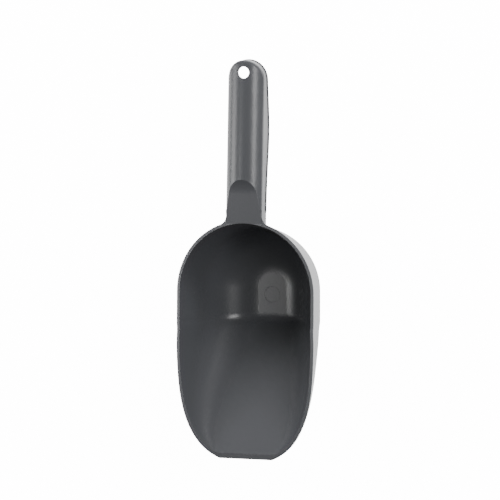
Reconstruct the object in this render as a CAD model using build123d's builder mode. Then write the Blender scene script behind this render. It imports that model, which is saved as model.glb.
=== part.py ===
"""Moulded ice scoop: a deep bowl with a pouring lip, and a hollow crowned handle.

Millimetres. X is across the bowl, +Y runs to the handle's tip and +Z is up, out of the bowl.
The origin is the middle of the flat pad that the scoop rests on.
"""
from build123d import *
import os
from math import atan, cos, radians, sin, sqrt, tan

# ---- bowl ---------------------------------------------------------------------------------
WALL = 2.2                 # moulded wall thickness
RIM_Z = 58.0               # level at which the outline's widths are given
LIP_Z = 57.5               # height of the lip above the resting face
LIP_DIP_POWER = 4          # how late along the ramp the outline's level falls to the lip
BACK_Z = 61.4              # level that the rim climbs to behind the bowl
RIM_SIDE = ((-96, 58.5), (-70, 59.2), (-35, 59.7), (5, 59.2), (35, 59.8))
TRIM_Z = 72.0              # the bowl is made this tall, then trimmed to the rim
LIP_Y = -112.0             # straight edge that is pushed into the ice
PAD_FRONT_Y = -17.0        # the pad ends and the ramp to the lip begins
RAMP_STATIONS = (LIP_Y, -107, -102, -96, -84, -70, -55, -42, -28, PAD_FRONT_Y)
BACK_CENTRE_Y = 5.1        # the trough's section turns round this point to close the back
HALF_WIDTH = 50.8          # widest half-width of the rim
OUTLINE_START_Y = -10.0    # forward of here the rim narrows to the lip
OUTLINE_LENGTH = 105.6
OUTLINE_POWER = 3.7
OUTLINE_ROOT = 2.3
FLOOR_ARC = 35.0           # outer radius between floor and side wall, at the pad
LIP_ARC = 1.5              # the same radius where the trough runs out at the lip
ARC_FADE = 0.65            # how fast it falls along the ramp
WALL_DRAFT = 11.0          # lean of the side walls at the pad, degrees
LIP_DRAFT_GAIN = 6.0       # extra lean at the lip
PAD_FILLET = 12.0          # rounding between the pad and the ramp
GATE_R = 5.75              # round witness mark where the mould was filled
GATE_DEPTH = 0.2

# ---- handle -------------------------------------------------------------------------------
HANDLE_HALF = 13.4         # half-width of the handle
CROWN_R = 16.4             # radius of its crowned front
TIP_Y = 168.4              # end of the handle
CROWN_TIP_Z = 62.5         # height of the crown at the tip
CROWN_SLOPE = 0.049        # it rises towards the bowl by this much per millimetre
CEILING_Z = 90.0           # clear above everything
ROOT_Y = 44.0              # the handle solid starts inside the bowl and is trimmed by it
FLAT_START_Y = 75.5        # flat thumb rest: highest end
FLAT_END_Y = 54.0          # and where it meets the bowl
FLAT_START_Z = 63.38
FLAT_END_Z = 60.95
FLAT_RAMP = 10.0           # length of the curve up from the flat to the crown
FLAT_RISE = 3.5            # and its height
UNDERSIDE = ((ROOT_Y, 52.0), (63, 51.7), (87, 49.6), (120, 45.7), (146, 47.6), (TIP_Y + 1, 49.4))
FLARE_R = 7.0              # rounding between the handle and the rim, seen from above
FLARE_DEPTH = 7.0
FLARE_TAPER = 14.0
FLARE_SPAN = 44.0          # the web stays within this width
SHELL = 1.9                # handle wall
CROWN_ROUND = 2.4          # rounding along the crown's edges
HOLE_R = 4.1               # hanging hole
HOLE_Y = TIP_Y - 8.7
HOLE_ROUND = 0.5
HOLE_PAD_R = 7.0           # thickening round the hole, inside the handle
HOLE_PAD_T = 2.8
CHANNEL_Y = 66.0           # the handle is hollow from here to the tip

# ---- back cover ---------------------------------------------------------------------------
COVER_Y = 62.0             # end of the cover next to the bowl
COVER_T = 1.7              # thickness of the cover, and of the strip that shows at the side
COVER_ROUND = 1.0
COVER_STEP = 0.5           # how far its edge stands out past the handle's side
SEAM = 0.12                # gap between the cover and the handle's end
RIB_T = 1.2                # locating rib that stands up inside the channel
RIB_H = 3.0
RIB_GAP = 0.15
COVER_HOLE_R = 9.0         # wide opening under the hanging hole
COVER_HOLE_Y = TIP_Y - 11.6
RIB_END_Y = COVER_HOLE_Y - COVER_HOLE_R - 1.5

ramp_slope = LIP_Z / (PAD_FRONT_Y - LIP_Y)
ramp_angle = atan(ramp_slope)


def rim_half_width(y):
    """Half-width of the outer rim at y."""
    if y < OUTLINE_START_Y:
        reach = (OUTLINE_START_Y - y) / OUTLINE_LENGTH
        return HALF_WIDTH * (1 - reach ** OUTLINE_POWER) ** (1 / OUTLINE_ROOT)
    return HALF_WIDTH


def trough_section(y, inset):
    """Right half of the trough's section at y, set in by a wall: floor, arc and side wall."""
    ramp_z = max(0.0, LIP_Z - (y - LIP_Y) * ramp_slope)
    run = ramp_z / LIP_Z
    draft = radians(WALL_DRAFT + LIP_DRAFT_GAIN * run)
    radius = LIP_ARC + (FLOOR_ARC - LIP_ARC) * (1 - run) ** ARC_FADE
    radius = max(radius - inset, LIP_ARC / 2)
    level = RIM_Z - (RIM_Z - LIP_Z) * run ** LIP_DIP_POWER
    plan_slope = rim_half_width(y + 0.5) - rim_half_width(y - 0.5)
    side = rim_half_width(y) - inset / cos(draft) * sqrt(1 + plan_slope ** 2)
    floor_z = ramp_z + (inset / cos(ramp_angle) if ramp_z else inset)
    arc_z = floor_z + radius
    flat = side - radius * cos(draft) - (level - arc_z + radius * sin(draft)) * tan(draft)
    middle = (radians(90) - draft) / 2
    return [
        (flat, floor_z),
        (flat + radius * sin(middle), arc_z - radius * cos(middle)),
        (flat + radius * cos(draft), arc_z - radius * sin(draft)),
        (side + (TRIM_Z - level) * tan(draft), TRIM_Z),
    ]


def trough(inset):
    """Loft of the trough sections along the ramp."""
    with BuildPart() as run:
        for y in RAMP_STATIONS:
            floor, middle, wall, top = trough_section(y, inset)
            with BuildSketch(Plane.XZ.offset(-y)):
                with BuildLine():
                    Line((0, floor[1]), floor)
                    ThreePointArc(floor, middle, wall)
                    Line(wall, top)
                    Line(top, (0, top[1]))
                    mirror(about=Plane.YZ)
                make_face()
        loft()
    return run.part


def round_back(inset):
    """The same section, run straight over the pad and then turned to close the back."""
    floor, middle, wall, top = trough_section(PAD_FRONT_Y, inset)
    with BuildPart() as back:
        with BuildSketch(Plane.XZ.offset(-BACK_CENTRE_Y)) as half:
            with BuildLine():
                Line((0, floor[1]), floor)
                ThreePointArc(floor, middle, wall)
                Line(wall, top)
                Polyline(top, (0, top[1]), (0, floor[1]))
            make_face()
        extrude(amount=BACK_CENTRE_Y - PAD_FRONT_Y)
        mirror(about=Plane.YZ)
        revolve(half.sketch, Axis((0, BACK_CENTRE_Y, 0), (0, 0, 1)), revolution_arc=180)
    return back.part


def bowl_solid(inset):
    """Ramp and round back, with the bend between pad and ramp rounded."""
    with BuildPart() as bowl:
        add(trough(inset))
        add(round_back(inset))
        bend = bowl.edges().filter_by_position(Axis.Y, PAD_FRONT_Y - 0.1, PAD_FRONT_Y + 0.1)
        bend = bend.filter_by(lambda edge: edge.bounding_box().max.Z < inset + 0.1)
        fillet(bend, PAD_FILLET)
    return bowl.part


def rim_trim():
    """Between the resting face and the rim's top, which dips to the lip, from the side."""
    line = ((LIP_Y, LIP_Z), *RIM_SIDE, (BACK_CENTRE_Y + HALF_WIDTH + 8, BACK_Z))
    with BuildPart() as under:
        with BuildSketch(Plane.YZ):
            with BuildLine():
                Spline(*line)
                Polyline(line[-1], (line[-1][0], 0), (LIP_Y, 0), (LIP_Y, LIP_Z))
            make_face()
        extrude(amount=80, both=True)
    return under.part


# ---- the handle's outer form ---------------------------------------------------------------
def crown_z(y):
    """Height of the handle's crown line at y."""
    return CROWN_TIP_Z + (TIP_Y - y) * CROWN_SLOPE


def handle_plan(half, inset=0.0):
    """Plan of the handle: straight sides and a round end."""
    with BuildSketch(mode=Mode.PRIVATE) as plan:
        with Locations((0, TIP_Y - inset - half)):
            Circle(half)
        with Locations((0, (TIP_Y - inset - half + ROOT_Y) / 2)):
            Rectangle(2 * half, TIP_Y - inset - half - ROOT_Y)
    return plan.sketch


def handle_column(half, inset):
    """The handle's plan as an upright column."""
    with BuildPart() as column:
        with BuildSketch():
            add(handle_plan(half, inset))
        extrude(amount=CEILING_Z)
    return column.part


def handle_form(inset):
    """Crowned handle, set in by a wall: its section along its length, within its plan."""
    half = HANDLE_HALF - inset
    with BuildPart() as handle:
        for y in (ROOT_Y, TIP_Y + 1):
            top = crown_z(y) - inset
            edge = top - (CROWN_R - sqrt(CROWN_R ** 2 - HANDLE_HALF ** 2))
            with BuildSketch(Plane.XZ.offset(-y)):
                with BuildLine():
                    ThreePointArc((-half, edge), (0, top), (half, edge))
                    Polyline((half, edge), (half, 30), (-half, 30), (-half, edge))
                make_face()
        loft(ruled=True)
        add(handle_column(half, inset), mode=Mode.INTERSECT)
    return handle.part


def belly(inset):
    """Side view of the handle: everything above its underside, which swells at mid-length."""
    points = [(y, z + inset) for y, z in UNDERSIDE]
    with BuildPart() as side:
        with BuildSketch(Plane.YZ):
            with BuildLine():
                Spline(*points)
                Polyline(points[-1], (points[-1][0], 90), (points[0][0], 90), points[0])
            make_face()
        extrude(amount=40, both=True)
    return side.part


def above_flat(inset):
    """What the thumb rest cuts off the crown, from the side: a long flat that curves up."""
    root = (FLAT_END_Y, FLAT_END_Z - inset)
    start = (FLAT_START_Y + inset, FLAT_START_Z - inset)
    top = (start[0] + FLAT_RAMP, start[1] + FLAT_RISE)
    with BuildPart() as above:
        with BuildSketch(Plane.YZ):
            with BuildLine():
                Line(root, start)
                TangentArc(start, top, tangent=(start[0] - root[0], start[1] - root[1]))
                Polyline(top, (top[0], CEILING_Z), (ROOT_Y - 5, CEILING_Z), (ROOT_Y - 5, root[1]), root)
            make_face()
        extrude(amount=40, both=True)
    return above.part


def past(y):
    """A block that holds everything from y to beyond the handle's tip."""
    with BuildPart() as block:
        with Locations((0, y, 0)):
            Box(80, 200, 200, align=(Align.CENTER, Align.MIN, Align.CENTER))
    return block.part


with BuildPart() as handle_outer:
    add(handle_form(0.0))
    add(belly(0.0), mode=Mode.INTERSECT)
    add(above_flat(0.0), mode=Mode.SUBTRACT)
    crown = handle_outer.edges().filter_by(lambda edge: edge.bounding_box().max.Y > TIP_Y - 20)
    crown = crown.filter_by(lambda edge: edge.bounding_box().min.Z > CROWN_TIP_Z - 8)
    fillet(crown, CROWN_ROUND)

# strip under the handle that the cover takes
with BuildPart() as cover_room:
    add(handle_form(-2.0))
    add(belly(COVER_T), mode=Mode.SUBTRACT)
    add(past(COVER_Y), mode=Mode.INTERSECT)

# inside of the handle: a channel with a thickening left round the hanging hole
with BuildPart() as hollow:
    add(handle_form(SHELL))
    add(above_flat(SHELL), mode=Mode.SUBTRACT)
    add(past(CHANNEL_Y), mode=Mode.INTERSECT)
    with Locations((0, HOLE_Y, crown_z(HOLE_Y) - HOLE_PAD_T)):
        Cylinder(HOLE_PAD_R, 20, align=(Align.CENTER, Align.CENTER, Align.MIN), mode=Mode.SUBTRACT)

# web that rounds the handle's sides into the rim
web_r = HALF_WIDTH + (BACK_Z - RIM_Z) * tan(radians(WALL_DRAFT))
with BuildPart() as flare:
    with BuildSketch(Plane.XY.offset(BACK_Z)) as flare_plan:
        with Locations((0, BACK_CENTRE_Y)):
            Circle(web_r)
        with Locations((0, BACK_CENTRE_Y + web_r)):
            Rectangle(2 * HANDLE_HALF, 30)
        fillet(flare_plan.vertices().filter_by_position(Axis.Y, 50, 60), FLARE_R)
        with Locations((0, BACK_CENTRE_Y + web_r)):
            Rectangle(FLARE_SPAN, 30, mode=Mode.INTERSECT)
    extrude(amount=-FLARE_DEPTH, taper=FLARE_TAPER)

# ---- scoop body ----------------------------------------------------------------------------
with BuildPart() as scoop_body:
    add(bowl_solid(0.0))
    add(flare.part)
    add(rim_trim(), mode=Mode.INTERSECT)
    add(handle_outer.part)
    add(bowl_solid(WALL), mode=Mode.SUBTRACT)
    with Locations((0, 0, WALL - GATE_DEPTH)):
        Cylinder(GATE_R, 5, align=(Align.CENTER, Align.CENTER, Align.MIN), mode=Mode.SUBTRACT)
    add(hollow.part, mode=Mode.SUBTRACT)
    add(cover_room.part, mode=Mode.SUBTRACT)
    with Locations((0, HOLE_Y, RIM_Z)):
        Cylinder(HOLE_R, 40, mode=Mode.SUBTRACT)
    mouth = scoop_body.edges().filter_by_position(Axis.Y, HOLE_Y - 0.1, HOLE_Y + 0.1)
    fillet(mouth.sort_by(Axis.Z)[-1], HOLE_ROUND)
scoop_body.part.label = "scoop_body"

# ---- back cover ----------------------------------------------------------------------------
with BuildPart() as locating_rib:
    add(handle_form(SHELL + RIB_GAP))
    add(handle_form(SHELL + RIB_GAP + RIB_T), mode=Mode.SUBTRACT)
    add(belly(COVER_T + RIB_H), mode=Mode.SUBTRACT)
    add(belly(COVER_T - 1.0), mode=Mode.INTERSECT)
    add(past(CHANNEL_Y + RIB_GAP), mode=Mode.INTERSECT)
    add(past(RIB_END_Y), mode=Mode.SUBTRACT)

with BuildPart() as handle_back_cover:
    add(handle_form(-COVER_STEP))
    add(belly(0.0), mode=Mode.INTERSECT)
    add(belly(COVER_T), mode=Mode.SUBTRACT)
    add(past(COVER_Y + SEAM), mode=Mode.INTERSECT)
    underside = handle_back_cover.faces().filter_by(lambda face: face.normal_at().Z < -0.9)
    fillet(underside.edges(), COVER_ROUND)
    add(locating_rib.part)
    with Locations((0, COVER_HOLE_Y, RIM_Z)):
        Cylinder(COVER_HOLE_R, 60, mode=Mode.SUBTRACT)
handle_back_cover.part.label = "handle_back_cover"

for piece in (scoop_body, handle_back_cover):
    print(piece.part.label, piece.part.is_valid, round(piece.part.volume), len(piece.part.solids()), piece.part.center())
os.makedirs("parts", exist_ok=True)
for piece in (scoop_body, handle_back_cover):
    export_step(piece.part, f"parts/{piece.part.label}.step")
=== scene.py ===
"""Looks, light and camera for the moulded ice scoop. Metres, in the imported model's frame."""
from math import cos, radians, sin

import bpy
from mathutils import Matrix, Vector


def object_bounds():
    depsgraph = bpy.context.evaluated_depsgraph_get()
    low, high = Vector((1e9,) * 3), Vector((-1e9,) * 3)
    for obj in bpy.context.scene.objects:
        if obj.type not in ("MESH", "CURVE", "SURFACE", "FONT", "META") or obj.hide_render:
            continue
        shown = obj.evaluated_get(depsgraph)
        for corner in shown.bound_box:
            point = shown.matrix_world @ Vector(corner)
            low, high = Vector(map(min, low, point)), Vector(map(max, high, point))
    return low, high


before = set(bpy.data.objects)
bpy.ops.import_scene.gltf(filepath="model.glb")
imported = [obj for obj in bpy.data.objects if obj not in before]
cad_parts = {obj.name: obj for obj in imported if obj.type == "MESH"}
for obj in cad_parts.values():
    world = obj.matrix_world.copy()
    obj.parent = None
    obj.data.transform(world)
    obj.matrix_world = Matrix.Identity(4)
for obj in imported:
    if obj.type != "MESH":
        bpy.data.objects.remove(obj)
cad_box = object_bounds()

MM = 0.001
WHITE = "#ffffff"
SEEN_WHITE = 14.0          # glow at which paper and room are clear white to the camera
MIRRORED_WHITE = 2.0       # glow of the paper in the scoop's own glossy sides
ROOM_FILL = 0.17           # weak light that the room gives from everywhere


# ---- colour and node helpers --------------------------------------------------------------
def linear(hex_colour):
    """An sRGB hex colour as linear RGBA."""
    channels = [int(hex_colour[i:i + 2], 16) / 255 for i in (1, 3, 5)]
    return [c / 12.92 if c <= 0.04045 else ((c + 0.055) / 1.055) ** 2.4 for c in channels] + [1.0]


def node(tree, kind, settings=None, inputs=None, links=None):
    """Adds a node, sets its properties and sockets, and links {input: (node, output)} into it."""
    new = tree.nodes.new(kind)
    for name, value in (settings or {}).items():
        setattr(new, name, value)
    for name, value in (inputs or {}).items():
        new.inputs[name].default_value = value
    for name, (source, output) in (links or {}).items():
        tree.links.new(source.outputs[output], new.inputs[name])
    return new


def moulded_plastic(name, colour, roughness, texture_mm, texture_depth, flow_mm, edge_mm):
    """Injection-moulded polypropylene.

    The mould's fine spark texture breaks up the gloss, the melt leaves faint long waves along
    the flow, and the pigment isn't perfectly even.
    """
    material = bpy.data.materials.new(name)
    material.use_nodes = True
    tree = material.node_tree
    tree.nodes.clear()
    place = node(tree, "ShaderNodeTexCoord")
    # spark texture of the mould, drawn about twice as coarse as it is so that it shows
    grain = node(
        tree, "ShaderNodeTexNoise",
        inputs={"Scale": 1 / (texture_mm * MM), "Detail": 3.0, "Roughness": 0.6},
        links={"Vector": (place, "Object")},
    )
    stretch = node(
        tree, "ShaderNodeMapping",
        inputs={"Scale": (1.0, 0.35, 1.0)},
        links={"Vector": (place, "Object")},
    )
    flow = node(
        tree, "ShaderNodeTexNoise",
        inputs={"Scale": 1 / (flow_mm * MM), "Detail": 1.0, "Roughness": 0.5},
        links={"Vector": (stretch, "Vector")},
    )
    pigment = node(
        tree, "ShaderNodeMix", {"data_type": "RGBA"},
        inputs={6: linear(colour), 7: [min(1.0, c * 1.12) for c in linear(colour)]},
        links={"Factor": (flow, "Fac")},
    )
    gloss = node(
        tree, "ShaderNodeMapRange",
        inputs={"To Min": roughness - 0.03, "To Max": roughness + 0.03},
        links={"Value": (flow, "Fac")},
    )
    # mould edges are never sharp: the shading turns over this radius at every edge
    soft_edge = node(
        tree, "ShaderNodeBevel", {"samples": 6}, inputs={"Radius": edge_mm * MM},
    )
    waves = node(
        tree, "ShaderNodeBump",
        inputs={"Strength": 0.25, "Distance": 0.03 * MM},
        links={"Height": (flow, "Fac"), "Normal": (soft_edge, "Normal")},
    )
    bump = node(
        tree, "ShaderNodeBump",
        inputs={"Strength": texture_depth, "Distance": 0.012 * MM},
        links={"Height": (grain, "Fac"), "Normal": (waves, "Normal")},
    )
    surface = node(
        tree, "ShaderNodeBsdfPrincipled",
        inputs={"IOR": 1.49},
        links={
            "Base Color": (pigment, 2),
            "Roughness": (gloss, "Result"),
            "Normal": (bump, "Normal"),
        },
    )
    node(tree, "ShaderNodeOutputMaterial", links={"Surface": (surface, "BSDF")})
    return material


def wear(piece, material):
    """The piece shows only this material."""
    piece.data.materials.clear()
    piece.data.materials.append(material)
    for face in piece.data.polygons:
        face.material_index = 0


# ---- materials ----------------------------------------------------------------------------
# the scoop's body comes from a polished mould with a light satin
satin_pp = moulded_plastic(
    "moulded_pp_satin", "#434447", roughness=0.30,
    texture_mm=0.5, texture_depth=0.12, flow_mm=26.0, edge_mm=0.22,
)
# the back cover has a finer, drier texture for grip
matt_pp = moulded_plastic(
    "moulded_pp_fine_matt", "#3e3f42", roughness=0.42,
    texture_mm=0.4, texture_depth=0.25, flow_mm=18.0, edge_mm=0.3,
)
wear(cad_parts["scoop_body"], satin_pp)
wear(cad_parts["handle_back_cover"], matt_pp)

# ---- floor --------------------------------------------------------------------------------
floor_material = bpy.data.materials.new("white_paper_sweep")
floor_material.use_nodes = True
floor_surface = floor_material.node_tree.nodes["Principled BSDF"]
floor_surface.inputs["Base Color"].default_value = linear("#f7f7f7")
floor_surface.inputs["Roughness"].default_value = 0.9
# the paper is lit on its own until it is clear white to the eye and bright in the scoop's
# sides, without lighting the scoop
ray = node(floor_material.node_tree, "ShaderNodeLightPath")
mirrored_glow = node(
    floor_material.node_tree, "ShaderNodeMath", {"operation": "MULTIPLY"},
    inputs={1: MIRRORED_WHITE}, links={0: (ray, "Is Glossy Ray")},
)
glow = node(
    floor_material.node_tree, "ShaderNodeMath", {"operation": "MULTIPLY_ADD"},
    inputs={1: SEEN_WHITE}, links={0: (ray, "Is Camera Ray"), 2: (mirrored_glow, 0)},
)
floor_surface.inputs["Emission Color"].default_value = linear(WHITE)
floor_material.node_tree.links.new(glow.outputs[0], floor_surface.inputs["Emission Strength"])

FLOOR_SIZE = 8.0
FLOOR_GAP = 0.5 * MM       # keeps the paper clear of the pad's underside
bpy.ops.mesh.primitive_plane_add(size=FLOOR_SIZE, location=(0, 0, cad_box[0][2] - FLOOR_GAP))
floor = bpy.context.object
floor.name = "paper_floor"
wear(floor, floor_material)

# ---- camera -------------------------------------------------------------------------------
SIDE = radians(20.0)       # the camera leans this far to +X
TILT = radians(4.0)        # and this far towards the handle
DISTANCE = 2.6
FRAME_HEIGHT = 0.350       # what the picture takes in at the object
SENSOR_MM = 36.0
towards = Vector((sin(SIDE) * cos(TILT), sin(TILT), cos(SIDE) * cos(TILT)))
right = Vector((cos(SIDE), 0.0, -sin(SIDE)))
up = towards.cross(right)
target = Vector((0.0, 0.0355, 0.058)) + right * 0.0033
camera_data = bpy.data.cameras.new("camera")
camera = bpy.data.objects.new("camera", camera_data)
bpy.context.scene.collection.objects.link(camera)
camera_data.sensor_width = SENSOR_MM
camera_data.lens = SENSOR_MM * DISTANCE / FRAME_HEIGHT
camera.matrix_world = Matrix.Translation(target + towards * DISTANCE) @ Matrix(
    (right, up, towards)
).transposed().to_4x4()
bpy.context.scene.camera = camera


# ---- light --------------------------------------------------------------------------------
def softbox(name, direction, distance, width, height, power, mirrored=True):
    """A rectangular softbox that faces the origin; unless mirrored, it lights with no glint."""
    light = bpy.data.lights.new(name, "AREA")
    light.shape = "RECTANGLE"
    light.size = width
    light.size_y = height
    light.energy = power
    holder = bpy.data.objects.new(name, light)
    holder.visible_glossy = mirrored
    bpy.context.scene.collection.objects.link(holder)
    out = Vector(direction).normalized()
    side = Vector((0, 1, 0)).cross(out).normalized()
    holder.matrix_world = Matrix.Translation(out * distance) @ Matrix(
        (side, out.cross(side), out)
    ).transposed().to_4x4()


# the stripes along both sides of the handle's crown
softbox("softbox_left", (-0.90, 0.0, 0.44), 1.6, 0.74, 0.6, 10)
softbox("softbox_right", (0.84, 0.30, 1.0), 1.6, 0.50, 0.5, 10)
# low light from behind the handle, which leaves the bottom of the bowl in shade
softbox("softbox_back_right", (0.38, 0.85, 0.38), 1.8, 0.8, 0.6, 25, mirrored=False)
softbox("softbox_back_left", (-0.50, 0.78, 0.38), 1.8, 0.8, 0.6, 15, mirrored=False)
# low light from the sides, for the bowl's inner walls
softbox("softbox_right_low", (1.0, 0.0, 0.66), 1.8, 0.5, 0.8, 13, mirrored=False)
softbox("softbox_left_low", (-1.0, 0.0, 0.62), 1.8, 0.5, 0.8, 5, mirrored=False)
# the soft glint on the bowl's flat pad
softbox("softbox_pad", (-0.45, -0.04, 0.88), 1.6, 0.18, 0.10, 3.0)

# the room is as white as the paper to the eye, and gives only a weak fill
world = bpy.data.worlds.new("studio")
bpy.context.scene.world = world
world.use_nodes = True
room = world.node_tree.nodes["Background"]
room.inputs["Color"].default_value = linear(WHITE)
room_ray = node(world.node_tree, "ShaderNodeLightPath")
room_strength = node(
    world.node_tree, "ShaderNodeMath", {"operation": "MULTIPLY_ADD"},
    inputs={1: SEEN_WHITE, 2: ROOM_FILL}, links={0: (room_ray, "Is Camera Ray")},
)
world.node_tree.links.new(room_strength.outputs[0], room.inputs["Strength"])
